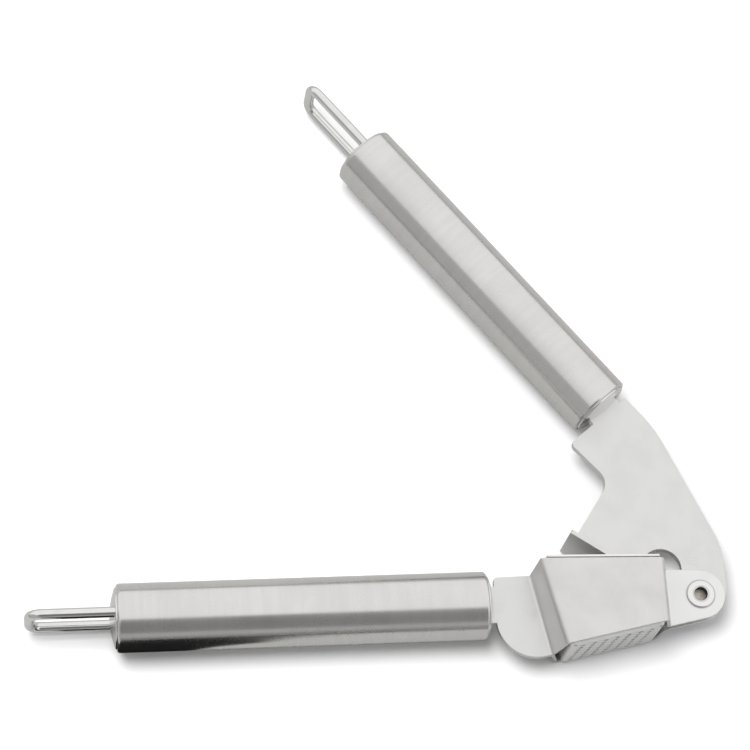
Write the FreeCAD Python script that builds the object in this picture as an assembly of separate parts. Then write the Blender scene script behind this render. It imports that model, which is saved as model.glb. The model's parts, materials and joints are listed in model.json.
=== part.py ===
"""Garlic press: two round steel handles joined by one rivet.

The lower handle carries two cheeks that open into a chamber with a sieve basket. The upper
handle carries one arm plate with a flat presser foot, which swings down into the basket.

Everything is drawn about the rivet's axis: X runs along the lower handle away from its loop,
Y goes up towards the upper handle, and Z is the rivet's axis, with 0 at the middle of the
sheet metal. The last step moves the whole press, so that it lies on its side with its box's
bottom centre at the origin. Lengths are in millimetres and angles in degrees.
"""
import FreeCAD, Part
import math
import os

Vector = FreeCAD.Vector
ORIGIN = Vector(0, 0, 0)
X_AXIS = Vector(1, 0, 0)
Y_AXIS = Vector(0, 1, 0)
Z_AXIS = Vector(0, 0, 1)

# Grip tubes
TUBE_DIAMETER = 20.0
TUBE_LENGTH = 107.5
TUBE_WALL = 0.6
TUBE_LIP = 0.4              # how far each end turns in beyond the wall
TUBE_END_ROUND = 0.9        # outside corner where the end turns in

# Where the handles stand, seen from the rivet
HANDLE_SPREAD = 51.8        # angle between the handles as the press is shown
LOWER_OFFSET = -0.7         # rivet to the lower handle's axis
UPPER_OFFSET = 17.75
UPPER_REACH = 62.0

# End caps
CAP_FIT = 0.05              # gap between a cap and its tube
CAP_SHEET = 0.5
CAP_DEPTH = 5.0
CAP_NECK = 0.4              # height of the cap's edge above the tube's end
CAP_RISE = 2.0              # height of the cap's crown above the tube's end
CAP_EDGE_ROUND = 0.4

# Hanging loops
LOOP_WIRE = 3.1
LOOP_MARGIN = 0.3           # from a leg to the edge of the cap's neck
LOOP_LENGTH = 26.4          # tube's end to the loop's tip
LOOP_BEND = 3.5             # of the wire's middle, at each corner of the loop
LOOP_FIT = 0.05
ANCHOR_THICKNESS = 2.0

# Tails of the cheeks and of the arm, inside the tubes
TANG_WIDTH = 11.0
TANG_DEPTH = 22.0
TANG_FIT = 0.05
TANG_SUPPORT_THICKNESS = 3.0
SHOULDER_GAP = 0.8          # cap's crown to the shoulder of the sheet

# Pivot
RIVET_DIAMETER = 6.0
RIVET_HEAD = 8.1
RIVET_HEAD_HEIGHT = 0.55
RIVET_HEAD_ROUND = 0.25
RIVET_HOLE = 3.9
RIVET_HOLE_FLOOR = 0.6      # height of the hole's floor above the middle of the press
RIVET_MOUTH_ROUND = 0.35
RIVET_FIT = 0.05
SLEEVE_DIAMETER = 8.0
PIVOT_CLEARANCE = 0.05      # running gap round the sleeve

# Cheeks
CHEEK_SHEET = 1.0
CHEEK_BEND = 1.0            # inside radius of each bend
EAR_RADIUS = 7.3
EAR_TOP = 7.9
EAR_INNER = 1.5             # middle of the press to the ear's inner face
BOX_INNER = 10.5            # middle of the press to the box side's inner face
BOX_TOP = 9.2               # top edge of the box side, at its front end
RIM_SLOPE = 1.4             # that edge and the rim rise away from the rivet
BACK_GAP = 1.9              # basket's back wall to the line where the box side starts
BACK_TOP_LEAN = 13.0        # lean of that line
BACK_SLOPE_RUN = 2.25       # from that line to the one where the flat tail ends
BACK_BASE_LEAN = 10.8       # lean of the tail's line
FRONT_GAP = 1.2             # basket's front wall to the line where the box side ends
FRONT_SLOPE_RUN = 2.0       # from that line to the ear
TAIL_LENGTH = 15.32         # end of the flat tail to the tube's front end
TAIL_TOP = 7.5
TAIL_TOP_RISE = 0.2         # how much higher the tail's top edge is where it starts to bend
TAIL_TOP_ROUND = 1.0
TAIL_LOBE_RADIUS = 11.5
FLOOR_SLOPE = 11.0          # the chamber's floor rises towards the rivet

# Sieve basket
BASKET_SHEET = 0.6
BASKET_FIT = 0.1            # between the basket and the cheeks
BASKET_DROP = 0.8           # how far the basket stands out below the cheeks
BASKET_EDGE_ROUND = 1.2
BACK_WALL_DISTANCE = 43.5   # rivet to the back wall's outer face
BACK_WALL_LEAN = 11.0
FRONT_WALL_DISTANCE = 13.2  # rivet to the front wall's outer face
RIM_GAP = 0.3               # between the rim and the cheeks' top edges
ARM_SLOT_FLOOR = 3.0        # height of the bottom of the slot in the front wall
BACK_SLOT_FLOOR = 7.0       # the same in the back wall
ARM_SLOT_CLEARANCE = 0.5    # each side of the arm
CORNER_RELIEF = 1.1

# Holes in the basket's floor
HOLE_DIAMETER = 1.5
HOLE_COLUMNS = 7
HOLE_ROWS = 7
HOLE_END_MARGIN = 3.7       # outermost hole centres to the ends of the floor
HOLE_SIDE_MARGIN = 2.9      # and to its sides
HOLE_ROW_SHIFT = 0.25       # each row stands this much nearer the rivet than the one below it
HOLE_FIELD_SHIFT = -0.6     # of the whole field, away from the rivet

# Arm plate
ARM_THICKNESS = 2.5
ARM_BOSS_RADIUS = 6.9
ARM_SIDE = 8.3              # from the rivet to the straight outer edge beside it
ARM_HEEL_ANGLE = 332        # direction from the rivet to where that edge joins the boss
ARM_HEEL_ROUND = 4.0
ARM_SHOULDER_OUT = 7.5      # from the upper handle's axis to the plate's outer corner
ARM_SHOULDER_IN = 15.1      # from the same axis to its inner corner
ARM_INNER_CORNER_ROUND = 1.7
ARM_THROAT = (-23.8, 36.0)  # hollow of the inner edge
ARM_THROAT_ROUND = 5.0
ARM_OUTER_BEND = (-9.1, 53.4)  # the outer edge turns gently here
ARM_OUTER_BEND_ROUND = 40.0
ARM_SWELL_Y = 14.3          # height of the outer edge's fullest corner
ARM_SWELL_ROUND = 24.0
NOTCH_RADIUS = 6.1
NOTCH_DEPTH = 1.8           # below the rivet, when the press is closed

# Presser foot
PRESSER_THICKNESS = 1.2
PRESSER_SIDE_GAP = 0.2      # to the basket's side walls
PRESSER_BACK_GAP = 0.3      # to the basket's back wall at the tightest point
PRESSER_FRONT_GAP = 0.35
PRESSER_FLOOR_GAP = 0.4     # above the sieve, when the press is closed
PRESSER_CORNER_ROUND = 0.8
PRESSER_ANGLE = -34.5       # slope of the foot as the press is shown
ARM_SETBACK = 2.0           # the foot's tip to the arm's inner edge
WELD_LEG = 0.8

# Values that follow from those above
TUBE_RADIUS = TUBE_DIAMETER / 2
TUBE_BORE = TUBE_RADIUS - TUBE_WALL
TUBE_MOUTH = TUBE_BORE - TUBE_LIP
CAP_SKIRT = TUBE_BORE - CAP_FIT
CAP_NECK_RADIUS = TUBE_MOUTH - CAP_FIT
CAP_CAVITY = CAP_SKIRT - CAP_SHEET
LOOP_SPREAD = 2 * (CAP_NECK_RADIUS - LOOP_MARGIN) - LOOP_WIRE
EAR_OUTER = EAR_INNER + CHEEK_SHEET
BOX_OUTER = BOX_INNER + CHEEK_SHEET
FRONT_WALL_X = -FRONT_WALL_DISTANCE
BACK_WALL_X = -BACK_WALL_DISTANCE / math.cos(math.radians(BACK_WALL_LEAN))
BACK_TOP_X = BACK_WALL_X - BACK_GAP
BACK_BASE_X = BACK_TOP_X - BACK_SLOPE_RUN
FRONT_BEND_OUTER = FRONT_WALL_X + FRONT_GAP
FRONT_BEND_INNER = FRONT_BEND_OUTER + FRONT_SLOPE_RUN
LOWER_REACH = TAIL_LENGTH - BACK_BASE_X
BASKET_SIDE = BOX_INNER - BASKET_FIT
RIM_TOP = BOX_TOP + RIM_GAP + BASKET_SHEET
FLOOR_DISTANCE = EAR_RADIUS + BASKET_DROP
PRESSER_DISTANCE = FLOOR_DISTANCE - BASKET_SHEET - PRESSER_FLOOR_GAP
PRESSER_HALF_WIDTH = BASKET_SIDE - BASKET_SHEET - PRESSER_SIDE_GAP
CLOSING_SWING = FLOOR_SLOPE - PRESSER_ANGLE


# ---- Plane geometry ------------------------------------------------------------------------

def polar(angle, radius=1.0):
    """Point at an angle and a distance from the rivet."""
    turn = math.radians(angle)
    return Vector(radius * math.cos(turn), radius * math.sin(turn), 0)


def meet(angle_a, distance_a, angle_b, distance_b):
    """Corner of two straight edges, each given by the direction and distance of its normal."""
    a = polar(angle_a)
    b = polar(angle_b)
    scale = a.x * b.y - a.y * b.x
    return Vector((distance_a * b.y - distance_b * a.y) / scale,
                  (a.x * distance_b - b.x * distance_a) / scale, 0)


def rounded_outline(corners):
    """Closed wire through (x, y, radius) corners, each with an arc unless its radius is 0."""
    points = [Vector(x, y, 0) for x, y, radius in corners]
    stops = []
    for index, (x, y, radius) in enumerate(corners):
        here = points[index]
        back = (points[index - 1] - here).normalize()
        ahead = (points[(index + 1) % len(points)] - here).normalize()
        if radius == 0:
            stops.append((here, None, here))
            continue
        half = back.getAngle(ahead) / 2
        reach = radius / math.tan(half)
        middle = (back + ahead).normalize() * (radius / math.sin(half) - radius)
        stops.append((here + back * reach, here + middle, here + ahead * reach))
    edges = []
    for index, (start, middle, end) in enumerate(stops):
        if middle is not None:
            edges.append(Part.Arc(start, middle, end).toShape())
        following = stops[(index + 1) % len(stops)][0]
        edges.append(Part.LineSegment(end, following).toShape())
    return Part.Wire(edges)


def slab(outline, low, high):
    """Flat plate of a closed outline between two heights."""
    plate = Part.Face(outline).extrude(Z_AXIS * (high - low))
    plate.translate(Z_AXIS * low)
    return plate


def offset_path(path, distance):
    """Open path of (x, y) points moved sideways, to the left of its direction when positive."""
    moved = []
    for index, (x, y) in enumerate(path):
        before = path[max(index - 1, 0)]
        after = path[min(index + 1, len(path) - 1)]
        if index == 0:
            before = (2 * x - after[0], 2 * y - after[1])
        if index == len(path) - 1:
            after = (2 * x - before[0], 2 * y - before[1])
        along = Vector(x - before[0], y - before[1], 0).normalize()
        onward = Vector(after[0] - x, after[1] - y, 0).normalize()
        mitre = (along + onward).normalize()
        stretch = distance / mitre.dot(along)
        moved.append((x - mitre.y * stretch, y + mitre.x * stretch))
    return moved


def box_between(low, high):
    """Block between two opposite corners."""
    size = high - low
    return Part.makeBox(size.x, size.y, size.z, low)


def mirrored(shape):
    """The same piece on the other side of the middle plane."""
    return shape.mirror(ORIGIN, Z_AXIS)


# ---- Handles, drawn along X with the tube's front end at 0 -----------------------------------

def handle_place(angle, offset, reach):
    """Placement that takes a handle from its own axes to its place about the rivet."""
    place = FreeCAD.Placement(Vector(-reach, offset, 0), FreeCAD.Rotation())
    turn = FreeCAD.Placement(ORIGIN, FreeCAD.Rotation(Z_AXIS, angle))
    return turn.multiply(place)


def rod(radius, start, end, y=0.0, z=0.0):
    """Cylinder along X between two stations."""
    return Part.makeCylinder(radius, end - start, Vector(start, y, z), X_AXIS)


def circles(shape, radius, axis, station):
    """Circular edges of one radius whose centres lie at one station along an axis."""
    found = []
    for edge in shape.Edges:
        if edge.Degenerated or not isinstance(edge.Curve, Part.Circle):
            continue
        same_size = abs(edge.Curve.Radius - radius) < 1e-6
        if same_size and abs(edge.Curve.Center.dot(axis) - station) < 1e-6:
            found.append(edge)
    return found


def grip_tube():
    """Thin tube with both ends turned in."""
    tube = rod(TUBE_RADIUS, -TUBE_LENGTH, 0)
    rims = circles(tube, TUBE_RADIUS, X_AXIS, 0)
    rims += circles(tube, TUBE_RADIUS, X_AXIS, -TUBE_LENGTH)
    tube = tube.makeFillet(TUBE_END_ROUND, rims)
    bore = rod(TUBE_BORE, TUBE_WALL - TUBE_LENGTH, -TUBE_WALL)
    return tube.cut(bore).cut(rod(TUBE_MOUTH, -TUBE_LENGTH, 0))


def front_cap():
    """Cup pressed into the tube, with a low dome that stands out of its mouth."""
    rise = CAP_RISE - CAP_NECK
    crown = (CAP_NECK_RADIUS ** 2 + rise ** 2) / (2 * rise)
    centre = CAP_RISE - crown
    half_turn = math.asin(CAP_NECK_RADIUS / crown) / 2
    points = [Vector(-CAP_DEPTH, CAP_CAVITY, 0), Vector(-CAP_DEPTH, CAP_SKIRT, 0),
              Vector(-TUBE_WALL, CAP_SKIRT, 0), Vector(-TUBE_WALL, CAP_NECK_RADIUS, 0),
              Vector(CAP_NECK, CAP_NECK_RADIUS, 0)]
    edges = [Part.LineSegment(a, b).toShape() for a, b in zip(points, points[1:])]
    on_dome = Vector(centre + crown * math.cos(half_turn), crown * math.sin(half_turn), 0)
    top = Vector(CAP_RISE, 0, 0)
    edges.append(Part.Arc(points[-1], on_dome, top).toShape())
    inside = [top, Vector(-TUBE_WALL, 0, 0), Vector(-TUBE_WALL, CAP_CAVITY, 0), points[0]]
    edges += [Part.LineSegment(a, b).toShape() for a, b in zip(inside, inside[1:])]
    cup = Part.Face(Part.Wire(edges)).revolve(ORIGIN, X_AXIS, 360)
    return cup.makeFillet(CAP_EDGE_ROUND, circles(cup, CAP_NECK_RADIUS, X_AXIS, CAP_NECK))


def rear_cap():
    """The front cap's shape turned round for the tube's other end."""
    cap = front_cap()
    cap.rotate(Vector(-TUBE_LENGTH / 2, 0, 0), Z_AXIS, 180)
    return cap


def tang_space(thickness, clearance):
    """Room for a tail of the given thickness."""
    half_width = TANG_WIDTH / 2 + clearance
    half_height = thickness / 2 + clearance
    return box_between(Vector(-TANG_DEPTH, -half_width, -half_height),
                       Vector(CAP_RISE + 1, half_width, half_height))


def tang_support(thickness):
    """Disc that steadies the tail's end inside the tube."""
    disc = rod(TUBE_BORE - CAP_FIT, -TANG_DEPTH, TANG_SUPPORT_THICKNESS - TANG_DEPTH)
    return disc.cut(tang_space(thickness, TANG_FIT))


def loop_legs(radius, start, end):
    """Both legs of the loop, as two rods."""
    half = LOOP_SPREAD / 2
    return Part.Compound([rod(radius, start, end, z=side * half) for side in (-1, 1)])


def anchor_station():
    """Inner end of the loop's legs, at the anchor's inner face."""
    return TUBE_WALL + ANCHOR_THICKNESS - TUBE_LENGTH


def hanging_loop():
    """Round wire bent into a U, across the flat of the press."""
    half = LOOP_SPREAD / 2
    tip = -TUBE_LENGTH - LOOP_LENGTH + LOOP_WIRE / 2
    bend = tip + LOOP_BEND
    straight = half - LOOP_BEND
    swell = LOOP_BEND * math.sqrt(0.5)
    root = anchor_station()
    path = Part.Wire([
        Part.LineSegment(Vector(root, 0, half), Vector(bend, 0, half)).toShape(),
        Part.Arc(Vector(bend, 0, half), Vector(bend - swell, 0, straight + swell),
                 Vector(tip, 0, straight)).toShape(),
        Part.LineSegment(Vector(tip, 0, straight), Vector(tip, 0, -straight)).toShape(),
        Part.Arc(Vector(tip, 0, -straight), Vector(bend - swell, 0, -straight - swell),
                 Vector(bend, 0, -half)).toShape(),
        Part.LineSegment(Vector(bend, 0, -half), Vector(root, 0, -half)).toShape()])
    section = Part.Wire(Part.makeCircle(LOOP_WIRE / 2, Vector(root, 0, half), X_AXIS))
    return path.makePipeShell([section], True, False)


def loop_anchor():
    """Disc behind the rear cap that the loop's legs are welded into."""
    disc = rod(CAP_CAVITY - CAP_FIT, TUBE_WALL - TUBE_LENGTH, anchor_station())
    return disc.cut(loop_legs(LOOP_WIRE / 2, -TUBE_LENGTH, 0))


def handle_pieces(side, tail_thickness, place):
    """All pieces of one handle, moved to their place."""
    leg_holes = loop_legs(LOOP_WIRE / 2 + LOOP_FIT, -TUBE_LENGTH - 2 * CAP_RISE, 0)
    pieces = {
        "grip_tube": grip_tube(),
        "front_cap": front_cap().cut(tang_space(tail_thickness, TANG_FIT)),
        "rear_cap": rear_cap().cut(leg_holes),
        "hanging_loop": hanging_loop(),
        "loop_anchor": loop_anchor(),
        "tang_support": tang_support(tail_thickness),
    }
    for shape in pieces.values():
        shape.Placement = place.multiply(shape.Placement)
    return {side + "_" + name: shape for name, shape in pieces.items()}


def tail_outline(shoulder):
    """Corners of the tail behind a shoulder, in the handle's own axes, from below to above."""
    half = TANG_WIDTH / 2
    return [(shoulder, -half), (-TANG_DEPTH, -half), (-TANG_DEPTH, half), (shoulder, half)]


# ---- Cheeks ----------------------------------------------------------------------------------

def top_edge(x, height):
    """Height at x of an edge along the rim, given its height at the front wall."""
    return height + (FRONT_WALL_X - x) * math.tan(math.radians(RIM_SLOPE))


def leaning(x, lean, y):
    """X, at one height, of a line that leans away from the rivet and is given at its height."""
    return x - y * math.tan(math.radians(lean))


def cheek_section(y, start, end):
    """Bent sheet cut across at one height."""
    tail_end = leaning(BACK_BASE_X, BACK_BASE_LEAN, y)
    side_start = leaning(BACK_TOP_X, BACK_TOP_LEAN, y)
    outer = [(start, CHEEK_SHEET), (tail_end, CHEEK_SHEET),
             (side_start, BOX_OUTER), (FRONT_BEND_OUTER, BOX_OUTER),
             (FRONT_BEND_INNER, EAR_OUTER), (end, EAR_OUTER)]
    inner = offset_path(outer, -CHEEK_SHEET)
    wide = CHEEK_BEND + CHEEK_SHEET
    outer_rounds = [0, CHEEK_BEND, wide, wide, CHEEK_BEND, 0]
    inner_rounds = [0, wide, CHEEK_BEND, CHEEK_BEND, wide, 0]
    corners = [(x, z, r) for (x, z), r in zip(outer, outer_rounds)]
    corners += [(x, z, r) for (x, z), r in zip(reversed(inner), reversed(inner_rounds))]
    section = rounded_outline(corners)
    section.rotate(ORIGIN, X_AXIS, 90)
    section.translate(Y_AXIS * y)
    return section


def cheek_outline():
    """The cheek seen from its flat side, with its ear round the rivet."""
    front = -LOWER_REACH
    shoulder = CAP_RISE + SHOULDER_GAP
    left = front + shoulder
    tail = [(front + x, LOWER_OFFSET + y, 0) for x, y in tail_outline(shoulder)]
    tail_end = leaning(BACK_BASE_X, BACK_BASE_LEAN, BOX_TOP)
    box_start = leaning(BACK_TOP_X, BACK_TOP_LEAN, BOX_TOP)
    lobe = meet(180, -left, 270 + FLOOR_SLOPE, EAR_RADIUS)
    ear_top_angle = math.degrees(math.acos(EAR_RADIUS / math.hypot(FRONT_BEND_INNER, EAR_TOP)))
    above = math.degrees(math.atan2(EAR_TOP, FRONT_BEND_INNER)) - ear_top_angle
    ear_corner = meet(above, EAR_RADIUS, 0, EAR_RADIUS)
    heel_corner = meet(0, EAR_RADIUS, 270 + FLOOR_SLOPE, EAR_RADIUS)
    return rounded_outline(
        [(lobe.x, lobe.y, TAIL_LOBE_RADIUS)] + tail
        + [(left, TAIL_TOP, TAIL_TOP_ROUND),
           (tail_end, TAIL_TOP + TAIL_TOP_RISE, 0),
           (box_start, top_edge(box_start, BOX_TOP), 0),
           (FRONT_BEND_OUTER, top_edge(FRONT_BEND_OUTER, BOX_TOP), 0),
           (FRONT_BEND_INNER, EAR_TOP, 0),
           (ear_corner.x, ear_corner.y, EAR_RADIUS),
           (heel_corner.x, heel_corner.y, EAR_RADIUS)])


def with_true_planes(solid):
    """The solid with the flat sides that a loft leaves as spline surfaces turned into planes."""
    faces = [Part.Face(face.findPlane(), face.OuterWire) if face.findPlane() else face
             for face in solid.Faces]
    return Part.Solid(Part.Shell(faces))


def near_cheek():
    """One bent sheet: tail, box side and ear."""
    start = -LOWER_REACH - TANG_DEPTH - 5
    end = 2 * EAR_RADIUS
    high = BOX_TOP + 3
    low = -3 * EAR_RADIUS
    sections = [cheek_section(high, start, end), cheek_section(low, start, end)]
    sheet = with_true_planes(Part.makeLoft(sections, True, True))
    blank = slab(cheek_outline(), 0, BOX_OUTER)
    hole = Part.makeCylinder(RIVET_DIAMETER / 2 + RIVET_FIT, BOX_OUTER)
    return sheet.common(blank).cut(hole)


# ---- Sieve basket ----------------------------------------------------------------------------

def rim_line(height):
    """Edge along the rim, from its height at the front wall."""
    slope = math.radians(RIM_SLOPE)
    return (90 - RIM_SLOPE, height * math.cos(slope) + FRONT_WALL_X * math.sin(slope))


def basket_block(inset, top):
    """Solid of the basket's shape, its walls moved in by the inset."""
    back = (180 + BACK_WALL_LEAN, BACK_WALL_DISTANCE - inset)
    floor = (270 + FLOOR_SLOPE, FLOOR_DISTANCE - inset)
    front = (0, FRONT_WALL_X - inset)
    lid = rim_line(top)
    corners = [meet(*lid, *back), meet(*back, *floor), meet(*floor, *front), meet(*front, *lid)]
    outline = rounded_outline([(corner.x, corner.y, 0) for corner in corners])
    side = BASKET_SIDE - inset
    block = slab(outline, -side, side)
    folds = [edge for edge in block.Edges if edge.BoundBox.YMin < top - 0.01]
    return block.makeFillet(BASKET_EDGE_ROUND - inset, folds)


def floor_ends(inset):
    """Both ends of the floor's outer face, inside walls moved in by the inset."""
    floor = (270 + FLOOR_SLOPE, FLOOR_DISTANCE)
    return (meet(180 + BACK_WALL_LEAN, BACK_WALL_DISTANCE - inset, *floor),
            meet(0, FRONT_WALL_X - inset, *floor))


def floor_pin(point, across, diameter):
    """Pin that pierces the floor at one point of its outer face."""
    outward = polar(270 + FLOOR_SLOPE)
    start = point + Z_AXIS * across + outward * BASKET_SHEET
    return Part.makeCylinder(diameter / 2, 3 * BASKET_SHEET, start, outward * -1)


def sieve_holes():
    """Every hole of the floor, as one group of pins to cut with."""
    back, front = floor_ends(0)
    along = (front - back).normalize()
    middle = (front + back) * 0.5 + along * HOLE_FIELD_SHIFT
    pitch_along = (front.distanceToPoint(back) - 2 * HOLE_END_MARGIN) / (HOLE_COLUMNS - 1)
    pitch_across = 2 * (BASKET_SIDE - HOLE_SIDE_MARGIN) / (HOLE_ROWS - 1)
    pins = []
    for row in range(HOLE_ROWS):
        up = row - (HOLE_ROWS - 1) / 2
        for column in range(HOLE_COLUMNS):
            out = (column - (HOLE_COLUMNS - 1) / 2) * pitch_along + up * HOLE_ROW_SHIFT
            pins.append(floor_pin(middle + along * out, up * pitch_across, HOLE_DIAMETER))
    return Part.Compound(pins)


def corner_reliefs():
    """Small holes where three folds of the basket meet."""
    side = BASKET_SIDE - BASKET_EDGE_ROUND
    return Part.Compound([floor_pin(end, across, CORNER_RELIEF)
                          for end in floor_ends(BASKET_EDGE_ROUND) for across in (-side, side)])


def arm_slot(wall_x, floor):
    """Room for the arm through the top of one end wall."""
    half_slot = ARM_THICKNESS / 2 + ARM_SLOT_CLEARANCE
    return box_between(Vector(wall_x - 3 * BASKET_SHEET, floor, -half_slot),
                       Vector(wall_x + 3 * BASKET_SHEET, RIM_TOP + 5, half_slot))


def sieve_basket():
    """Folded box with a rim that stands over the cheeks' top edges."""
    shell = basket_block(0, RIM_TOP)
    back = (180 + BACK_WALL_LEAN, BACK_WALL_DISTANCE)
    front = (0, FRONT_WALL_X)
    over, under = rim_line(RIM_TOP), rim_line(RIM_TOP - BASKET_SHEET)
    back_top = meet(*back, *over)
    rim_corners = [back_top, meet(*over, *front), meet(*under, *front), meet(*under, *back)]
    rim = slab(rounded_outline([(corner.x, corner.y, 0) for corner in rim_corners]),
               -BOX_OUTER, BOX_OUTER)
    hollow = basket_block(BASKET_SHEET, RIM_TOP + 5)
    basket = shell.fuse(rim).removeSplitter().cut(hollow)
    basket = basket.cut(arm_slot(FRONT_WALL_X, ARM_SLOT_FLOOR))
    basket = basket.cut(arm_slot(back_top.x, BACK_SLOT_FLOOR))
    return basket.cut(sieve_holes()).cut(corner_reliefs())


# ---- Arm and presser -------------------------------------------------------------------------

def along_foot(distance, depth):
    """Place along the foot that is one level distance from the rivet when the press is closed."""
    slope = math.radians(FLOOR_SLOPE)
    return (distance + depth * math.sin(slope)) / math.cos(slope)


def foot_front():
    """Distance along the foot from below the rivet to its front edge."""
    wall = FRONT_WALL_DISTANCE + BASKET_SHEET + PRESSER_FRONT_GAP
    return along_foot(wall, PRESSER_DISTANCE)


def foot_tip():
    """The same to its tip, which just clears the back wall as it swings."""
    sweep = BACK_WALL_DISTANCE - BASKET_SHEET - PRESSER_BACK_GAP
    return math.sqrt(sweep ** 2 - PRESSER_DISTANCE ** 2)


def arm_seat():
    """The two ends of the arm's edge on the foot."""
    notch_edge = FRONT_WALL_DISTANCE + BASKET_SHEET / 2 + NOTCH_RADIUS
    return along_foot(notch_edge, PRESSER_DISTANCE - PRESSER_THICKNESS), foot_tip() - ARM_SETBACK


def presser_point(along, above):
    """Point on the foot: distance along it towards its tip, and height above its face."""
    down = polar(PRESSER_ANGLE - 90, PRESSER_DISTANCE - above)
    return down + polar(PRESSER_ANGLE + 180, along)


def presser_foot():
    """Flat plate, square to the arm."""
    front = foot_front()
    tip = foot_tip()
    places = [(front, 0), (tip, 0), (tip, PRESSER_THICKNESS), (front, PRESSER_THICKNESS)]
    points = [presser_point(along, above) for along, above in places]
    outline = rounded_outline([(point.x, point.y, 0) for point in points])
    foot = slab(outline, -PRESSER_HALF_WIDTH, PRESSER_HALF_WIDTH)
    thick = [edge for edge in foot.Edges if abs(edge.Length - PRESSER_THICKNESS) < 1e-6]
    return foot.makeFillet(PRESSER_CORNER_ROUND, thick)


def notch():
    """Room for the chamber's front wall when the arm is down in it."""
    wall_middle = FRONT_WALL_X - BASKET_SHEET / 2
    centre = Vector(wall_middle, -NOTCH_DEPTH, 0)
    round_end = Part.makeCylinder(NOTCH_RADIUS, ARM_THICKNESS + 2)
    round_end.translate(centre - Z_AXIS * (ARM_THICKNESS / 2 + 1))
    half = Vector(NOTCH_RADIUS, 0, ARM_THICKNESS / 2 + 1)
    open_end = box_between(centre - half - Y_AXIS * 3 * NOTCH_RADIUS, centre + half)
    cutter = round_end.fuse(open_end)
    cutter.rotate(ORIGIN, Z_AXIS, -CLOSING_SWING)
    return cutter


def arm_plate(place):
    """One flat plate: tail in the upper tube, throat, seat for the foot, and pivot boss."""
    shoulder = CAP_RISE + SHOULDER_GAP
    foot_end = presser_point(arm_seat()[1], PRESSER_THICKNESS)
    below_rivet = presser_point(0, PRESSER_THICKNESS)
    heel_start = polar(ARM_HEEL_ANGLE, ARM_BOSS_RADIUS)
    heel = meet(0, ARM_SIDE, ARM_HEEL_ANGLE, ARM_BOSS_RADIUS)

    def at_handle(x, y, radius=0):
        point = place.multVec(Vector(x, y, 0))
        return (point.x, point.y, radius)

    tail = [at_handle(x, y) for x, y in reversed(tail_outline(shoulder))]
    outline = rounded_outline(
        [at_handle(shoulder, ARM_SHOULDER_OUT)] + tail
        + [at_handle(shoulder, -ARM_SHOULDER_IN, ARM_INNER_CORNER_ROUND),
           ARM_THROAT + (ARM_THROAT_ROUND,),
           (foot_end.x, foot_end.y, 0),
           (below_rivet.x, below_rivet.y, 0),
           (0, 0, 0),
           (heel_start.x, heel_start.y, 0),
           (heel.x, heel.y, ARM_HEEL_ROUND),
           (ARM_SIDE, ARM_SWELL_Y, ARM_SWELL_ROUND),
           ARM_OUTER_BEND + (ARM_OUTER_BEND_ROUND,)])
    half = ARM_THICKNESS / 2
    plate = slab(outline, -half, half).cut(notch())
    boss = Part.makeCylinder(ARM_BOSS_RADIUS, ARM_THICKNESS, Vector(0, 0, -half))
    bore = Part.makeCylinder(SLEEVE_DIAMETER / 2 + PIVOT_CLEARANCE, ARM_THICKNESS + 2,
                             Vector(0, 0, -half - 1))
    return plate.fuse(boss).removeSplitter().cut(bore)


def presser_weld():
    """Two fillet beads, one each side of the arm, where it stands on the foot."""
    start, end = arm_seat()
    half = ARM_THICKNESS / 2
    beads = []
    for side in (-1, 1):
        foot = [(0, half), (0, half + WELD_LEG), (WELD_LEG, half)]
        points = [presser_point(start + WELD_LEG, PRESSER_THICKNESS + above)
                  + Z_AXIS * side * across for above, across in foot]
        bead = Part.Face(Part.makePolygon(points + points[:1]))
        beads.append(bead.extrude(polar(PRESSER_ANGLE + 180, end - start - WELD_LEG)))
    return Part.Compound(beads)


# ---- Pivot -----------------------------------------------------------------------------------

def pivot_rivet():
    """Semi-tubular rivet: flat head below, hollow rolled head above."""
    top = EAR_OUTER + RIVET_HEAD_HEIGHT
    rivet = Part.makeCylinder(RIVET_DIAMETER / 2, 2 * top, Vector(0, 0, -top))
    for low in (-top, EAR_OUTER):
        head = Part.makeCylinder(RIVET_HEAD / 2, RIVET_HEAD_HEIGHT, Vector(0, 0, low))
        rivet = rivet.fuse(head)
    rivet = rivet.removeSplitter()
    hole = Part.makeCylinder(RIVET_HOLE / 2, top, Vector(0, 0, RIVET_HOLE_FLOOR))
    rivet = rivet.cut(hole)
    rims = [rim for height in (-top, top)
            for rim in circles(rivet, RIVET_HEAD / 2, Z_AXIS, height)]
    rivet = rivet.makeFillet(RIVET_HEAD_ROUND, rims)
    return rivet.makeFillet(RIVET_MOUTH_ROUND, circles(rivet, RIVET_HOLE / 2, Z_AXIS, top))


def pivot_sleeve():
    """Spacer that keeps the ears apart, so that the arm swings freely."""
    sleeve = Part.makeCylinder(SLEEVE_DIAMETER / 2, 2 * EAR_INNER, Vector(0, 0, -EAR_INNER))
    bore = Part.makeCylinder(RIVET_DIAMETER / 2 + RIVET_FIT, 2 * EAR_INNER,
                             Vector(0, 0, -EAR_INNER))
    return sleeve.cut(bore)


# ---- The whole press -------------------------------------------------------------------------

def build():
    """Every piece by name, about the rivet."""
    lower = handle_place(0, LOWER_OFFSET, LOWER_REACH)
    upper = handle_place(-HANDLE_SPREAD, UPPER_OFFSET, UPPER_REACH)
    cheek = near_cheek()
    pieces = {
        "cheek_near": cheek,
        "cheek_far": mirrored(cheek),
        "sieve_basket": sieve_basket(),
        "pivot_rivet": pivot_rivet(),
        "pivot_sleeve": pivot_sleeve(),
        "arm_plate": arm_plate(upper),
        "presser_foot": presser_foot(),
        "presser_weld": presser_weld(),
    }
    pieces.update(handle_pieces("lower", 2 * CHEEK_SHEET, lower))
    pieces.update(handle_pieces("upper", ARM_THICKNESS, upper))
    return pieces


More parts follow.
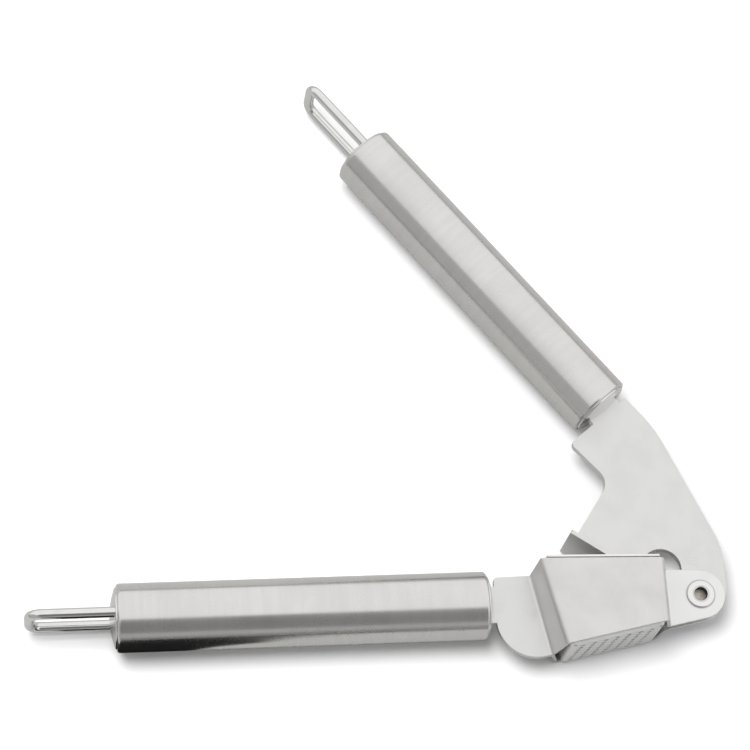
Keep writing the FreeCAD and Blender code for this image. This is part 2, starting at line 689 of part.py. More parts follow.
def main():
    pieces = build()
    box = Part.Compound(list(pieces.values())).optimalBoundingBox(False)
    shift = Vector(-box.Center.x, -box.Center.y, -box.ZMin)
    os.makedirs("parts", exist_ok=True)
    for name, shape in pieces.items():
        shape.translate(shift)
        shape.exportStep("parts/" + name + ".step")
    print("rivet axis at", [round(value, 4) for value in shift])
    print("size", round(box.XLength, 3), round(box.YLength, 3), round(box.ZLength, 3))


main()
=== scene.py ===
"""Garlic press with two tube handles: metal finishes, softened sheet edges and a plain studio.

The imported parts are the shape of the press. Each operator below finishes one group of them, and
the last one builds the floor, the lights and the camera.
"""

import json
import math

import bpy
from bpy.props import FloatProperty, FloatVectorProperty, PointerProperty
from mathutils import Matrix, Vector


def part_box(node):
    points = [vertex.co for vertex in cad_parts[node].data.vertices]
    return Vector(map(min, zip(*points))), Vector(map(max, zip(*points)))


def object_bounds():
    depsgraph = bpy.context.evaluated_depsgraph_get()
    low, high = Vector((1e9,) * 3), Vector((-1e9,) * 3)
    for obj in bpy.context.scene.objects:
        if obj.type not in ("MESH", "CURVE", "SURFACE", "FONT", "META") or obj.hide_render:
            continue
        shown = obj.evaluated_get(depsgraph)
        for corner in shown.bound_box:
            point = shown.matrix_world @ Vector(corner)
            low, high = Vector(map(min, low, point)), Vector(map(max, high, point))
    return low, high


bl_info = {
    "name": "Garlic Press Finishes",
    "version": (1, 0, 0),
    "blender": (4, 5, 0),
    "location": "View3D > Sidebar > Garlic Press",
    "description": "Finishes the parts of a tube-handled garlic press and sets up a plain studio",
    "category": "Object",
}

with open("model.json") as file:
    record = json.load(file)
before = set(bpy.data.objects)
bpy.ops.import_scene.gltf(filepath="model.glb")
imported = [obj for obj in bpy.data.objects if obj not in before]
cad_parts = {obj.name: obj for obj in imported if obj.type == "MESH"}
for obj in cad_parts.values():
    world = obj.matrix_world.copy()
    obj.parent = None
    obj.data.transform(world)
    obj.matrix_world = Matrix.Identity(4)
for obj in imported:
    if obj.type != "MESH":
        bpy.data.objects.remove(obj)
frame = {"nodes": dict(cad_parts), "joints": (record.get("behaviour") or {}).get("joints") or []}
CAD_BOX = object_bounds()
NODES = frame["nodes"]
HINGE = frame["joints"][0]
RIVET = Vector(HINGE["pos_m"])
FLOOR_HEIGHT = CAD_BOX[0].z

HANDLES = ("lower", "upper")
HIDDEN_PARTS = ("pivot_sleeve", "presser_weld", "lower_loop_anchor", "lower_tang_support",
                "upper_loop_anchor", "upper_tang_support")

# Stretches over which a mask rises or falls. Radii and heights are in metres from the rivet's
# middle, and turns are in radians round its axis.
EAR_FADE = (0.010, 0.018)          # bright ear fades into the rest of the cheek
BOX_SIDE_START = (0.0095, 0.0110)  # height where the box's ground outer faces start
HEAD_SHADE_RISE = (0.0039, 0.00405)     # painted shade: thin dark line round the rivet's head, where it meets the cheek
HEAD_SHADE_FALL = (0.0042, 0.0046)
RUB_RISE = (0.0082, 0.0096)        # ring of the arm that rubs in the cheeks
RUB_FALL = (0.0116, 0.0126)
RUB_TURN_RISE = (1.45, 1.60)
RUB_TURN_FALL = (1.95, 2.10)
BORE_EDGE = (0.00199, 0.00210)
FUNNEL_SHADE_RISE = (0.0021, 0.0023)     # painted shade: darker ring inside the rivet's rolled head
FUNNEL_SHADE_FALL = (0.0024, 0.0027)
WALL_UPRIGHT = (0.25, 0.60)        # upward part of the normal, from the bore's wall to its bottom; it masks the painted shade on the wall

# Upward part of the heading, for the dim line where the room meets the table.
HORIZON_RISE = (-0.03, 0.0)
HORIZON_FALL = (0.03, 0.07)
HORIZON_DEPTH = 0.75

# Dim patches of the room, in degrees: a broad one in front, a low one at the left, and a small
# darker one higher in front. The lean is from straight up.
DIM_PATCHES = (
    {"lean": 62.0, "bearing": 262.0, "reach": 42.0, "blur": 3.0, "depth": 0.55},
    {"lean": 82.0, "bearing": 208.0, "reach": 40.0, "blur": 3.0, "depth": 0.53},
    {"lean": 46.0, "bearing": 277.0, "reach": 26.0, "blur": 4.0, "depth": 0.80},
)

# Black card, in metres from the lower tube's left front corner. Its edge is the outline that the
# tube mirrors, and its flap stands along the front.
CARD_LIFT = 0.0002
CARD_EDGE = ((-0.015, 0.003), (0.020, 0.002), (0.029, -0.008), (0.044, -0.018), (0.056, -0.060))
CARD_FRONT = -0.105
CARD_CORNER = 0.064
CARD_LEFT = -0.030
FLAP_RIGHT = 0.300
FLAP_LEFT_HEIGHT = 0.012
FLAP_RIGHT_HEIGHT = 0.0045

TABLE_STEPS = 64
SENSOR_WIDTH = 36.0


# ---- Settings ------------------------------------------------------------------------------

def colour(name, text, default):
    return FloatVectorProperty(name=name, description=text, default=default, subtype="COLOR",
                               size=3, min=0.0, max=1.0)


def length(name, text, default):
    return FloatProperty(name=name, description=text, default=default, unit="LENGTH",
                         precision=5, min=0.0)


def share(name, text, default):
    return FloatProperty(name=name, description=text, default=default, subtype="FACTOR",
                         min=0.0, max=1.0)


class PressFinishSettings(bpy.types.PropertyGroup):
    """Colours and grain of the press."""

    tube_colour: colour("Tube colour", "Steel of the two grip tubes", (0.74, 0.73, 0.715))
    tube_roughness: share("Tube roughness", "Blur of the ground tubes", 0.27)
    tube_grain: length("Tube grain", "Spacing of the grinding lines round the tubes", 0.00035)
    sheet_colour: colour("Sheet colour", "Tumbled sheet of the chamber and the arm",
                         (0.765, 0.762, 0.752))
    ear_colour: colour("Ear colour", "Brighter sheet round the rivet", (0.845, 0.845, 0.835))
    box_colour: colour("Box colour", "Ground outer faces of the chamber", (0.715, 0.705, 0.69))
    sheet_roughness: share("Sheet roughness", "Blur of the tumbled sheet", 0.42)
    sheet_grain: length("Sheet grain", "Size of the tumbled pits", 0.00025)
    edge_round: length("Edge round", "Softened edges of the blanked sheet", 0.00026)
    fitting_colour: colour("Fitting colour", "Polished caps and loops", (0.80, 0.795, 0.78))
    fitting_roughness: share("Fitting roughness", "Blur of the polished fittings", 0.11)
    rivet_colour: colour("Rivet colour", "Rolled head of the rivet", (0.83, 0.825, 0.815))
    bore_colour: colour("Bore colour", "Dull bottom of the rivet's bore", (0.62, 0.565, 0.50))
    # Painted shade: a near-black colour for the bore's wall, standing in for the shade inside the
    # hollow.
    bore_wall_shade: colour("Bore wall colour", "Dark wall of the rivet's bore",
                             (0.035, 0.032, 0.03))
    plain_colour: colour("Plain colour", "Unfinished steel inside the press",
                         (0.52, 0.51, 0.50))


class PressStageSettings(bpy.types.PropertyGroup):
    """Camera, lights and floor."""

    camera_offset: FloatVectorProperty(
        name="Camera offset", description="From the rivet to the camera",
        default=(-0.1959, -0.2172, 0.8012), subtype="TRANSLATION", unit="LENGTH", precision=4)
    camera_turn: FloatVectorProperty(
        name="Camera turn", description="Turn about X, then Y, then Z",
        default=(0.346194, -0.121756, -0.023769), subtype="EULER", unit="ROTATION")
    camera_lens: FloatProperty(
        name="Camera lens", description="Focal length on a 36 mm sensor", default=137.52,
        unit="CAMERA", min=1.0)
    floor_colour: colour("Floor colour", "White table", (0.86, 0.86, 0.86))
    mirrored_floor_colour: colour("Mirrored floor colour", "Table as the metal mirrors it",
                                  (0.42, 0.42, 0.415))
    floor_radius: length("Floor radius", "Reach of the table", 6.0)
    key_power: FloatProperty(name="Key power", description="Soft lamp over the table",
                             default=8.6, unit="POWER", min=0.0)
    key_offset: FloatVectorProperty(
        name="Key offset", description="From the middle of the press to the soft lamp",
        default=(-0.25, 0.03, 0.95), subtype="TRANSLATION", unit="LENGTH")
    key_size: length("Key size", "Width of the soft lamp", 0.50)
    room_light: share("Room light", "Share of the room's brightness that reaches dull surfaces",
                      0.84)


# ---- Node helpers --------------------------------------------------------------------------

def feed(tree, socket, value):
    """Links another node's output to the socket, or sets the socket's own value."""
    if isinstance(value, bpy.types.NodeSocket):
        tree.links.new(value, socket)
    else:
        socket.default_value = value


def add(tree, kind, inputs=None, **settings):
    """One node, with its settings, and with a value or a link on each named input."""
    node = tree.nodes.new(kind)
    for name, value in settings.items():
        setattr(node, name, value)
    for name, value in (inputs or {}).items():
        feed(tree, node.inputs[name], value)
    return node


def maths(tree, operation, *values):
    node = tree.nodes.new("ShaderNodeMath")
    node.operation = operation
    for socket, value in zip(node.inputs, values):
        feed(tree, socket, value)
    return node.outputs[0]


def span(tree, value, low, high, to_low=0.0, to_high=1.0, smooth=True):
    """Value from one range to another, held at both ends."""
    return add(tree, "ShaderNodeMapRange",
               {"Value": value, "From Min": low, "From Max": high, "To Min": to_low,
                "To Max": to_high},
               interpolation_type="SMOOTHSTEP" if smooth else "LINEAR").outputs["Result"]


def band(tree, value, rise, fall):
    """Mask that rises over one stretch of the value and falls over a later one."""
    return maths(tree, "MULTIPLY", span(tree, value, *rise),
                 span(tree, value, *fall, 1.0, 0.0))


def new_group(name, inputs, outputs):
    """Empty node group with its sockets, and its input and output nodes."""
    tree = bpy.data.node_groups.new(name, "ShaderNodeTree")
    for label, kind, default in inputs:
        socket = tree.interface.new_socket(label, in_out="INPUT", socket_type=kind)
        if default is not None:
            socket.default_value = default
    for label, kind in outputs:
        tree.interface.new_socket(label, in_out="OUTPUT", socket_type=kind)
    return tree, tree.nodes.new("NodeGroupInput").outputs, tree.nodes.new("NodeGroupOutput").inputs


def shared_group(name, build):
    """The node group of that name, built the first time it is asked for."""
    return bpy.data.node_groups.get(name) or build(name)


def place_group(tree, name, build, **inputs):
    node = tree.nodes.new("ShaderNodeGroup")
    node.node_tree = shared_group(name, build)
    for label, value in inputs.items():
        feed(tree, node.inputs[label.replace("_", " ")], value)
    return node.outputs


# ---- Shared effects ------------------------------------------------------------------------

def build_grain(name):
    """Fine grain, longer across X than along it, in metres of the given place."""
    tree, given, result = new_group(
        name,
        [("Place", "NodeSocketVector", None), ("Spacing", "NodeSocketFloat", 0.0003),
         ("Stretch", "NodeSocketFloat", 20.0)],
        [("Grain", "NodeSocketFloat"), ("Strands", "NodeSocketFloat")])
    scale = maths(tree, "DIVIDE", 1.0, given["Spacing"])
    slow = maths(tree, "DIVIDE", scale, given["Stretch"])
    across = add(tree, "ShaderNodeCombineXYZ", {"X": scale, "Y": slow, "Z": slow}).outputs[0]
    stretched = add(tree, "ShaderNodeVectorMath", {0: given["Place"], 1: across},
                    operation="MULTIPLY").outputs[0]
    fine = add(tree, "ShaderNodeTexNoise", {"Vector": stretched, "Scale": 1.0, "Detail": 3.0,
                                            "Roughness": 0.62})
    tree.links.new(fine.outputs["Fac"], result["Grain"])
    wide = add(tree, "ShaderNodeVectorMath", {0: stretched, 1: (0.21, 0.35, 0.35)},
               operation="MULTIPLY").outputs[0]
    bands = add(tree, "ShaderNodeTexNoise", {"Vector": wide, "Scale": 1.0, "Detail": 2.0})
    tree.links.new(span(tree, bands.outputs["Fac"], 0.3, 0.7), result["Strands"])
    return tree


def build_handling(name):
    """Cloudy marks that wiping and handling leave, and small specks."""
    tree, given, result = new_group(
        name,
        [("Place", "NodeSocketVector", None), ("Size", "NodeSocketFloat", 0.012),
         ("Seed", "NodeSocketFloat", 0.0)],
        [("Clouds", "NodeSocketFloat"), ("Specks", "NodeSocketFloat")])
    scale = maths(tree, "DIVIDE", 1.0, given["Size"])
    clouds = add(tree, "ShaderNodeTexNoise",
                 {"Vector": given["Place"], "W": given["Seed"], "Scale": scale, "Detail": 4.0,
                  "Roughness": 0.55, "Distortion": 0.6}, noise_dimensions="4D")
    tree.links.new(span(tree, clouds.outputs["Fac"], 0.36, 0.66), result["Clouds"])
    dots = add(tree, "ShaderNodeTexVoronoi",
               {"Vector": given["Place"], "W": given["Seed"],
                "Scale": maths(tree, "MULTIPLY", scale, 4.0)},
               voronoi_dimensions="4D", feature="F1")
    tree.links.new(span(tree, dots.outputs["Distance"], 0.03, 0.11, 1.0, 0.0),
                   result["Specks"])
    return tree


def build_soft_edge(name):
    """Rounded normal at the blanked edges, and how much each place belongs to an edge."""
    tree, given, result = new_group(
        name, [("Width", "NodeSocketFloat", 0.0003)],
        [("Wear and Highlight", "NodeSocketFloat"), ("Normal", "NodeSocketVector")])
    rounded = add(tree, "ShaderNodeBevel", {"Radius": given["Width"]}, samples=4)
    flat = add(tree, "ShaderNodeNewGeometry")
    facing = add(tree, "ShaderNodeVectorMath",
                 {0: rounded.outputs[0], 1: flat.outputs["Normal"]}, operation="DOT_PRODUCT")
    tree.links.new(span(tree, facing.outputs["Value"], 0.995, 0.86), result["Wear and Highlight"])
    tree.links.new(rounded.outputs[0], result["Normal"])
    return tree


def build_handle_place(name):
    """Place on the press turned so that X runs along a handle."""
    tree, given, result = new_group(
        name, [("Turn", "NodeSocketFloat", 0.0)], [("Place", "NodeSocketVector")])
    here = add(tree, "ShaderNodeTexCoord").outputs["Object"]
    turned = add(tree, "ShaderNodeVectorRotate", {"Vector": here, "Angle": given["Turn"]},
                 rotation_type="Z_AXIS")
    tree.links.new(turned.outputs[0], result["Place"])
    return tree


def grain(tree, **inputs):
    return place_group(tree, "metal_grain", build_grain, **inputs)


def handling(tree, **inputs):
    return place_group(tree, "handling_marks", build_handling, **inputs)


def soft_edge(tree, **inputs):
    return place_group(tree, "soft_edge", build_soft_edge, **inputs)


def from_rivet(tree):
    """Distance from the rivet's axis, turn round it, and height above its middle."""
    place = add(tree, "ShaderNodeTexCoord").outputs["Object"]
    local = add(tree, "ShaderNodeVectorMath", {0: place, 1: tuple(RIVET)},
                operation="SUBTRACT").outputs[0]
    parts = add(tree, "ShaderNodeSeparateXYZ", {0: local}).outputs
    flat = add(tree, "ShaderNodeVectorMath", {0: local, 1: (1.0, 1.0, 0.0)},
               operation="MULTIPLY").outputs[0]
    radius = add(tree, "ShaderNodeVectorMath", {0: flat}, operation="LENGTH").outputs["Value"]
    return radius, maths(tree, "ARCTAN2", parts["Y"], parts["X"]), parts["Z"]


def handle_place(tree, turn):
    return place_group(tree, "handle_place", build_handle_place, Turn=turn)["Place"]


# ---- Materials -----------------------------------------------------------------------------

def new_metal(name, **constants):
    """Metal material with its shader's fixed values, and its node tree and shader."""
    material = bpy.data.materials.new(name)
    material.use_nodes = True
    tree = material.node_tree
    shader = tree.nodes["Principled BSDF"]
    shader.inputs["Metallic"].default_value = 1.0
    for label, value in constants.items():
        shader.inputs[label.replace("_", " ")].default_value = value
    return material, tree, shader


def tint(tree, base, factor, other):
    """Colour that moves from the base to the other one by the factor."""
    node = add(tree, "ShaderNodeMix", data_type="RGBA")
    ends = [socket for socket in node.inputs if socket.type == "RGBA"]
    for socket, value in zip(ends, (base, other)):
        if isinstance(value, bpy.types.NodeSocket):
            tree.links.new(value, socket)
        else:
            socket.default_value = (*value, 1.0)
    tree.links.new(factor, node.inputs["Factor"])
    return [socket for socket in node.outputs if socket.type == "RGBA"][0]


def scaled(rgb, factor):
    return tuple(min(1.0, channel * factor) for channel in rgb)


def bump(tree, shader, height, distance, strength, normal=None):
    """Fine relief, on top of another normal where one is given."""
    node = add(tree, "ShaderNodeBump", {"Height": height, "Distance": distance,
                                        "Strength": strength})
    if normal:
        tree.links.new(normal, node.inputs["Normal"])
    tree.links.new(node.outputs[0], shader.inputs["Normal"])


def ground_tube(name, turn):
    """Tube steel, ground round and round, so that highlights stretch along the handle."""
    finish = bpy.context.scene.press_finish
    material, tree, shader = new_metal(name, Anisotropic=0.82)
    place = handle_place(tree, turn)
    lines = grain(tree, Place=place, Spacing=finish.tube_grain, Stretch=22.0)
    marks = handling(tree, Place=place, Size=0.016, Seed=3.0)
    shade = maths(tree, "ADD", maths(tree, "MULTIPLY", lines["Strands"], 0.5),
                  maths(tree, "MULTIPLY", marks["Clouds"], 0.5))
    tree.links.new(tint(tree, finish.tube_colour, shade, scaled(finish.tube_colour, 0.93)),
                   shader.inputs["Base Color"])
    rough = maths(tree, "ADD", finish.tube_roughness - 0.02,
                  maths(tree, "MULTIPLY", marks["Clouds"], 0.04))
    tree.links.new(maths(tree, "ADD", rough, maths(tree, "MULTIPLY", marks["Specks"], 0.10)),
                   shader.inputs["Roughness"])
    along = add(tree, "ShaderNodeVectorTransform",
                {"Vector": (math.cos(turn), -math.sin(turn), 0.0)},
                vector_type="VECTOR", convert_from="OBJECT", convert_to="WORLD")
    tree.links.new(along.outputs[0], shader.inputs["Tangent"])
    bump(tree, shader, lines["Grain"], distance=0.00002, strength=0.35)
    return material


def tumbled_sheet(name, seed, softness=1.0, wear_and_highlight=1.0, metal=1.0, cheek=False, rub=False):
    """Sheet steel with a fine tumbled grain, faint clouds and soft edges, which rubbing and a
    painted highlight make lighter.
    """
    finish = bpy.context.scene.press_finish
    material, tree, shader = new_metal(name, Metallic=metal, Specular_IOR_Level=0.3)
    place = add(tree, "ShaderNodeTexCoord").outputs["Object"]
    radius, turn, height = from_rivet(tree)
    pits = grain(tree, Place=place, Spacing=finish.sheet_grain, Stretch=1.0)
    marks = handling(tree, Place=place, Size=0.010, Seed=seed)
    edge = soft_edge(tree, Width=finish.edge_round * softness)
    edge_wear_and_highlight = maths(tree, "MULTIPLY", edge["Wear and Highlight"], wear_and_highlight)
    base = finish.sheet_colour
    if cheek:
        base = tint(tree, base, span(tree, radius, *EAR_FADE, 1.0, 0.0), finish.ear_colour)
        side = span(tree, maths(tree, "ABSOLUTE", height), *BOX_SIDE_START)
        smudge = handling(tree, Place=place, Size=0.018, Seed=7.0)["Clouds"]
        ground = tint(tree, finish.box_colour, smudge, scaled(finish.box_colour, 1.06))
        base = tint(tree, base, side, ground)
        # Painted shade: a thin dark ring on the cheek round the rivet's head, where the head meets
        # the cheek.
        head_shade = maths(tree, "MULTIPLY", band(tree, radius, HEAD_SHADE_RISE, HEAD_SHADE_FALL), 0.6)
        base = tint(tree, base, head_shade, scaled(finish.ear_colour, 0.3))
    shade = tint(tree, base, maths(tree, "MULTIPLY", marks["Clouds"], 0.04), (0.0, 0.0, 0.0))
    # Painted highlight together with rubbing: the blanked edges turn lighter than the sheet.
    shade = tint(tree, shade, edge_wear_and_highlight, scaled(finish.sheet_colour, 1.16))
    rough = maths(tree, "ADD", finish.sheet_roughness - 0.01,
                  maths(tree, "MULTIPLY", marks["Clouds"], 0.02))
    rough = maths(tree, "SUBTRACT", rough, maths(tree, "MULTIPLY", edge_wear_and_highlight, 0.12))
    if rub:
        rubbed = swing_marks(tree, radius, turn)
        rough = maths(tree, "SUBTRACT", rough, maths(tree, "MULTIPLY", rubbed, 0.08))
        shade = tint(tree, shade, maths(tree, "MULTIPLY", rubbed, 0.35),
                     scaled(finish.sheet_colour, 0.72))
    tree.links.new(shade, shader.inputs["Base Color"])
    tree.links.new(rough, shader.inputs["Roughness"])
    bump(tree, shader, pits["Grain"], distance=0.00003, strength=0.30, normal=edge["Normal"])
    return material


def swing_marks(tree, radius, turn):
    """Short faint rings round the rivet, where the arm rubs in the cheeks."""
    rings = add(tree, "ShaderNodeCombineXYZ",
                {"X": maths(tree, "MULTIPLY", radius, 3500.0),
                 "Y": maths(tree, "MULTIPLY", turn, 1.6), "Z": 4.0}).outputs[0]
    noise = add(tree, "ShaderNodeTexNoise", {"Vector": rings, "Scale": 1.0, "Detail": 1.5})
    scratches = span(tree, noise.outputs["Fac"], 0.50, 0.62)
    rubbed = maths(tree, "MULTIPLY", band(tree, radius, RUB_RISE, RUB_FALL),
                   band(tree, turn, RUB_TURN_RISE, RUB_TURN_FALL))
    return maths(tree, "MULTIPLY", rubbed, scratches)


def polished_fitting(name, seed):
    """Bright drawn steel of the caps and the loops."""
    finish = bpy.context.scene.press_finish
    material, tree, shader = new_metal(name)
    place = add(tree, "ShaderNodeTexCoord").outputs["Object"]
    marks = handling(tree, Place=place, Size=0.006, Seed=seed)
    fine = grain(tree, Place=place, Spacing=0.0005, Stretch=3.0)
    tree.links.new(tint(tree, finish.fitting_colour, marks["Clouds"],
                        scaled(finish.fitting_colour, 0.95)), shader.inputs["Base Color"])
    tree.links.new(maths(tree, "ADD", finish.fitting_roughness,
                         maths(tree, "MULTIPLY", marks["Clouds"], 0.07)),
                   shader.inputs["Roughness"])
    bump(tree, shader, fine["Grain"], distance=0.00001, strength=0.15)
    return material


def rivet_steel(name):
    """Bright rolled head round a bore with a dull mottled bottom, with painted shade on the bore's
    wall and in a ring inside the head.
    """
    finish = bpy.context.scene.press_finish
    material, tree, shader = new_metal(name)
    place = add(tree, "ShaderNodeTexCoord").outputs["Object"]
    radius, _, height = from_rivet(tree)
    up = add(tree, "ShaderNodeSeparateXYZ",
             {0: add(tree, "ShaderNodeNewGeometry").outputs["Normal"]}).outputs["Z"]
    bore = span(tree, radius, *BORE_EDGE, 1.0, 0.0)
    # Painted shade: the upright wall of the bore turns near black.
    wall = maths(tree, "MULTIPLY", bore, span(tree, up, *WALL_UPRIGHT, 1.0, 0.0))
    marks = handling(tree, Place=place, Size=0.0011, Seed=11.0)
    dull = tint(tree, finish.bore_colour, marks["Clouds"], scaled(finish.bore_colour, 0.72))
    # Painted shade: a darker ring inside the rolled head, between the bore and the bright rim.
    funnel_shade = band(tree, radius, FUNNEL_SHADE_RISE, FUNNEL_SHADE_FALL)
    head = tint(tree, finish.rivet_colour, maths(tree, "MULTIPLY", funnel_shade, 0.45),
                scaled(finish.rivet_colour, 0.45))
    shade = tint(tree, head, bore, dull)
    tree.links.new(tint(tree, shade, wall, finish.bore_wall_shade), shader.inputs["Base Color"])
    tree.links.new(maths(tree, "ADD", 0.20, maths(tree, "MULTIPLY", bore, 0.25)),
                   shader.inputs["Roughness"])
    lines = grain(tree, Place=place, Spacing=0.0003, Stretch=1.0)
    bump(tree, shader, lines["Grain"], distance=0.00003, strength=0.3)
    return material


def plain_steel(name):
    """Unfinished steel inside the press and its weld beads."""
    finish = bpy.context.scene.press_finish
    material, tree, shader = new_metal(name)
    place = add(tree, "ShaderNodeTexCoord").outputs["Object"]
    marks = handling(tree, Place=place, Size=0.003, Seed=17.0)
    fine = grain(tree, Place=place, Spacing=0.0004, Stretch=2.0)
    tree.links.new(tint(tree, finish.plain_colour, marks["Clouds"],
                        scaled(finish.plain_colour, 0.8)), shader.inputs["Base Color"])
    tree.links.new(maths(tree, "ADD", 0.38, maths(tree, "MULTIPLY", marks["Clouds"], 0.15)),
                   shader.inputs["Roughness"])
    bump(tree, shader, fine["Grain"], distance=0.00004, strength=0.4)
    return material


def give(part, material):
    """Puts the material in every slot of a part."""
    for slot in NODES[part].material_slots:
        slot.material = material


# ---- Studio --------------------------------------------------------------------------------

def matt_material(name):
    """Dull material without any gloss, and its node tree and shader."""
    material = bpy.data.materials.new(name)
    material.use_nodes = True
    shader = material.node_tree.nodes["Principled BSDF"]
    shader.inputs["Specular IOR Level"].default_value = 0.0
    shader.inputs["Roughness"].default_value = 1.0
    return material, material.node_tree, shader


def mesh_object(name, corners, faces, material):
    """Mesh in the scene, with one material."""
    mesh = bpy.data.meshes.new(name)
    mesh.from_pydata(corners, [], faces)
    mesh.materials.append(material)
    made = bpy.data.objects.new(name, mesh)
    bpy.context.scene.collection.objects.link(made)
    return made


def table_top(stage):
    """Round white table that reaches past every view."""
    rim = [(stage.floor_radius * math.cos(2 * math.pi * step / TABLE_STEPS),
            stage.floor_radius * math.sin(2 * math.pi * step / TABLE_STEPS), FLOOR_HEIGHT)
           for step in range(TABLE_STEPS)]
    material, tree, shader = matt_material("white_table")
    mirrored = add(tree, "ShaderNodeLightPath").outputs["Is Glossy Ray"]
    tree.links.new(tint(tree, stage.floor_colour, mirrored, stage.mirrored_floor_colour),
                   shader.inputs["Base Color"])
    return mesh_object("table_top", rim, [range(TABLE_STEPS)], material)


def dark_card():
    """Black paper beside the lower handle. It is seen only as a dark reflection in the tube."""
    low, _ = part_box("lower_grip_tube")
    ground = FLOOR_HEIGHT + CARD_LIFT
    sheet = [(x, y, ground) for x, y in CARD_EDGE]
    sheet += [(CARD_CORNER, CARD_FRONT, ground), (CARD_LEFT, CARD_FRONT, ground)]
    flap = [(CARD_LEFT, CARD_FRONT, ground + FLAP_LEFT_HEIGHT),
            (FLAP_RIGHT, CARD_FRONT, ground + FLAP_RIGHT_HEIGHT),
            (FLAP_RIGHT, CARD_FRONT, ground)]
    corners = [(low.x + x, low.y + y, z) for x, y, z in sheet + flap]
    material, _, shader = matt_material("black_card")
    shader.inputs["Base Color"].default_value = (0.01, 0.01, 0.01, 1.0)
    card = mesh_object("dark_card", corners, [(0, 1, 2, 3, 4, 5, 6), (6, 5, 9, 8, 7)], material)
    card.visible_camera = card.visible_diffuse = card.visible_shadow = False
    card.visible_transmission = False
    return card


def soft_lamp(name, middle, offset, size, power):
    """Round lamp that faces the press and is itself unseen."""
    light = bpy.data.lights.new(name, "AREA")
    light.shape = "DISK"
    light.size = size
    light.energy = power
    lamp = bpy.data.objects.new(name, light)
    lamp.location = middle + Vector(offset)
    lamp.rotation_euler = (-Vector(offset)).to_track_quat("-Z", "Y").to_euler()
    lamp.visible_glossy = False
    lamp.visible_camera = False
    bpy.context.scene.collection.objects.link(lamp)


def dim_patch(tree, heading, lean, bearing, reach, blur, depth):
    """Level of a round dim patch. Its middle leans from straight up towards a bearing."""
    lean, bearing = math.radians(lean), math.radians(bearing)
    centre = (math.sin(lean) * math.cos(bearing), math.sin(lean) * math.sin(bearing),
              math.cos(lean))
    facing = add(tree, "ShaderNodeVectorMath", {0: heading, 1: centre},
                 operation="DOT_PRODUCT").outputs["Value"]
    return span(tree, facing, math.cos(math.radians(reach + blur)),
                math.cos(math.radians(reach - blur)), 1.0, 1.0 - depth)


def bright_room(stage):
    """White studio with dim patches and a dim horizon. Dull surfaces get less of its light."""
    world = bpy.data.worlds.new("bright_room")
    world.use_nodes = True
    bpy.context.scene.world = world
    tree = world.node_tree
    heading = add(tree, "ShaderNodeTexCoord").outputs["Generated"]
    level = 1.0
    for patch in DIM_PATCHES:
        level = maths(tree, "MINIMUM", level, dim_patch(tree, heading, **patch))
    up = add(tree, "ShaderNodeSeparateXYZ", {0: heading}).outputs["Z"]
    horizon = maths(tree, "MULTIPLY", band(tree, up, HORIZON_RISE, HORIZON_FALL), HORIZON_DEPTH)
    level = maths(tree, "MULTIPLY", level, maths(tree, "SUBTRACT", 1.0, horizon))
    dull = add(tree, "ShaderNodeLightPath").outputs["Is Diffuse Ray"]
    strength = maths(tree, "MULTIPLY", level,
                     span(tree, dull, 0.0, 1.0, 1.0, stage.room_light, smooth=False))
    background = tree.nodes["Background"]
    tree.links.new(strength, background.inputs["Strength"])
    background.inputs["Color"].default_value = (1.0, 1.0, 1.0, 1.0)


# ---- Operators -----------------------------------------------------------------------------

class PressOperator:
    """Lets each operator be undone"""

    bl_options = {"REGISTER", "UNDO"}


class PRESS_OT_grip_tubes(PressOperator, bpy.types.Operator):
    """Give both grip tubes ground steel that follows their own axis"""

    bl_idname = "press.grip_tubes"
    bl_label = "Grip Tubes"

    def execute(self, context):
        for handle in HANDLES:
            low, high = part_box(handle + "_front_cap")
            back_low, back_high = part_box(handle + "_rear_cap")
            along = (low + high - back_low - back_high) / 2
            turn = -math.atan2(along.y, along.x)
            give(handle + "_grip_tube", ground_tube("ground_tube_" + handle, turn))
        return {"FINISHED"}


class PRESS_OT_handle_fittings(PressOperator, bpy.types.Operator):
    """Give the caps and hanging loops polished steel"""

    bl_idname = "press.handle_fittings"
    bl_label = "Caps and Loops"

    def execute(self, context):
        caps = polished_fitting("polished_caps", 5.0)
        loops = polished_fitting("polished_loops", 8.0)
        for handle in HANDLES:
            give(handle + "_front_cap", caps)
            give(handle + "_rear_cap", caps)
            give(handle + "_hanging_loop", loops)
        return {"FINISHED"}


class PRESS_OT_sheet_parts(PressOperator, bpy.types.Operator):
    """Give the cheeks, sieve basket, arm and presser foot tumbled steel"""

    bl_idname = "press.sheet_parts"
    bl_label = "Sheet Parts"

    def execute(self, context):
        for side in ("near", "far"):
            give("cheek_" + side, tumbled_sheet("tumbled_cheek_" + side,
                                                2.0 if side == "near" else 5.0, cheek=True))
        give("sieve_basket", tumbled_sheet("tumbled_basket", 8.0, softness=0.3, wear_and_highlight=0.2,
                                             metal=0.6))
        give("arm_plate", tumbled_sheet("tumbled_arm", 11.0, rub=True))
        give("presser_foot", tumbled_sheet("tumbled_foot", 14.0))
        return {"FINISHED"}


class PRESS_OT_rivet(PressOperator, bpy.types.Operator):
    """Give the hollow rivet its bright head and dull bore"""

    bl_idname = "press.rivet"
    bl_label = "Rivet"

    def execute(self, context):
        give("pivot_rivet", rivet_steel("rivet_steel_finish"))
        return {"FINISHED"}


class PRESS_OT_hidden_steel(PressOperator, bpy.types.Operator):
    """Give the inner pieces and weld beads plain steel"""

    bl_idname = "press.hidden_steel"
    bl_label = "Inner Pieces"

    def execute(self, context):
        material = plain_steel("plain_steel_finish")
        for part in HIDDEN_PARTS:
            give(part, material)
        return {"FINISHED"}


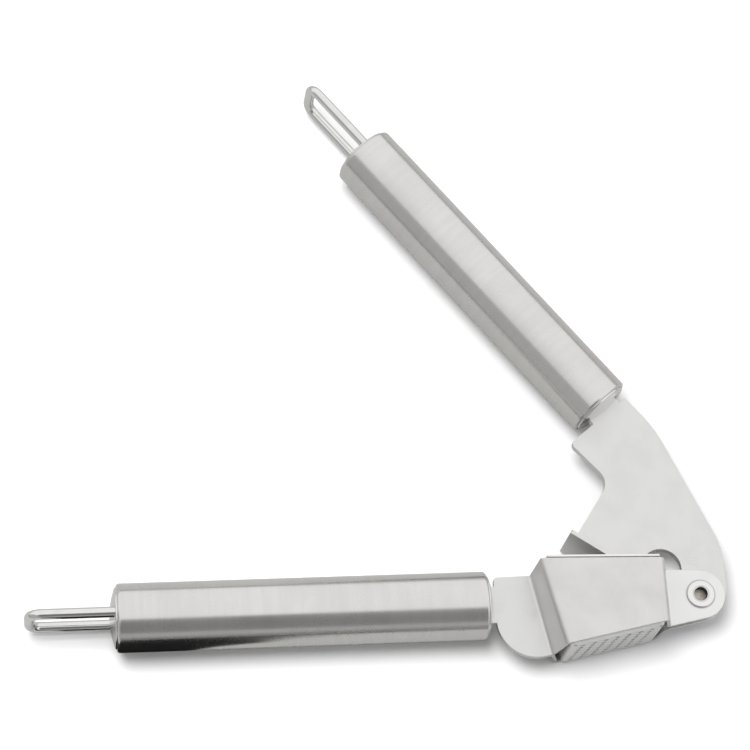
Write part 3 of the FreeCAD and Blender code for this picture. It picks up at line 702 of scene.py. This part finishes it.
class PRESS_OT_stage(PressOperator, bpy.types.Operator):
    """Build the white table, the soft lamp, the bright room and the camera"""

    bl_idname = "press.stage"
    bl_label = "Studio"

    def execute(self, context):
        stage = context.scene.press_stage
        camera = bpy.data.cameras.new("press_camera")
        camera.sensor_width = SENSOR_WIDTH
        camera.lens = stage.camera_lens
        holder = bpy.data.objects.new("press_camera", camera)
        holder.location = RIVET + Vector(stage.camera_offset)
        holder.rotation_mode = "ZYX"
        holder.rotation_euler = stage.camera_turn
        context.scene.collection.objects.link(holder)
        context.scene.camera = holder
        context.scene.view_settings.view_transform = "Standard"
        table_top(stage)
        dark_card()
        middle = (CAD_BOX[0] + CAD_BOX[1]) / 2
        soft_lamp("key_lamp", middle, stage.key_offset, stage.key_size, stage.key_power)
        bright_room(stage)
        return {"FINISHED"}


class PRESS_PT_panel(bpy.types.Panel):
    """Lists the operators that finish the garlic press"""

    bl_idname = "PRESS_PT_panel"
    bl_label = "Garlic Press"
    bl_space_type = "VIEW_3D"
    bl_region_type = "UI"
    bl_category = "Garlic Press"

    def draw(self, context):
        for operator in OPERATORS:
            self.layout.operator(operator.bl_idname)


OPERATORS = (PRESS_OT_stage, PRESS_OT_grip_tubes, PRESS_OT_handle_fittings,
             PRESS_OT_sheet_parts, PRESS_OT_rivet, PRESS_OT_hidden_steel)
SETTINGS = (PressFinishSettings, PressStageSettings)


def register():
    for kind in (*SETTINGS, *OPERATORS, PRESS_PT_panel):
        bpy.utils.register_class(kind)
    bpy.types.Scene.press_finish = PointerProperty(type=PressFinishSettings)
    bpy.types.Scene.press_stage = PointerProperty(type=PressStageSettings)


def unregister():
    del bpy.types.Scene.press_stage
    del bpy.types.Scene.press_finish
    for kind in reversed((*SETTINGS, *OPERATORS, PRESS_PT_panel)):
        bpy.utils.unregister_class(kind)


def main():
    register()
    bpy.ops.press.stage()
    bpy.ops.press.grip_tubes()
    bpy.ops.press.handle_fittings()
    bpy.ops.press.sheet_parts()
    bpy.ops.press.rivet()
    bpy.ops.press.hidden_steel()
    bpy.context.view_layer.update()


if __name__ == "__main__":
    main()
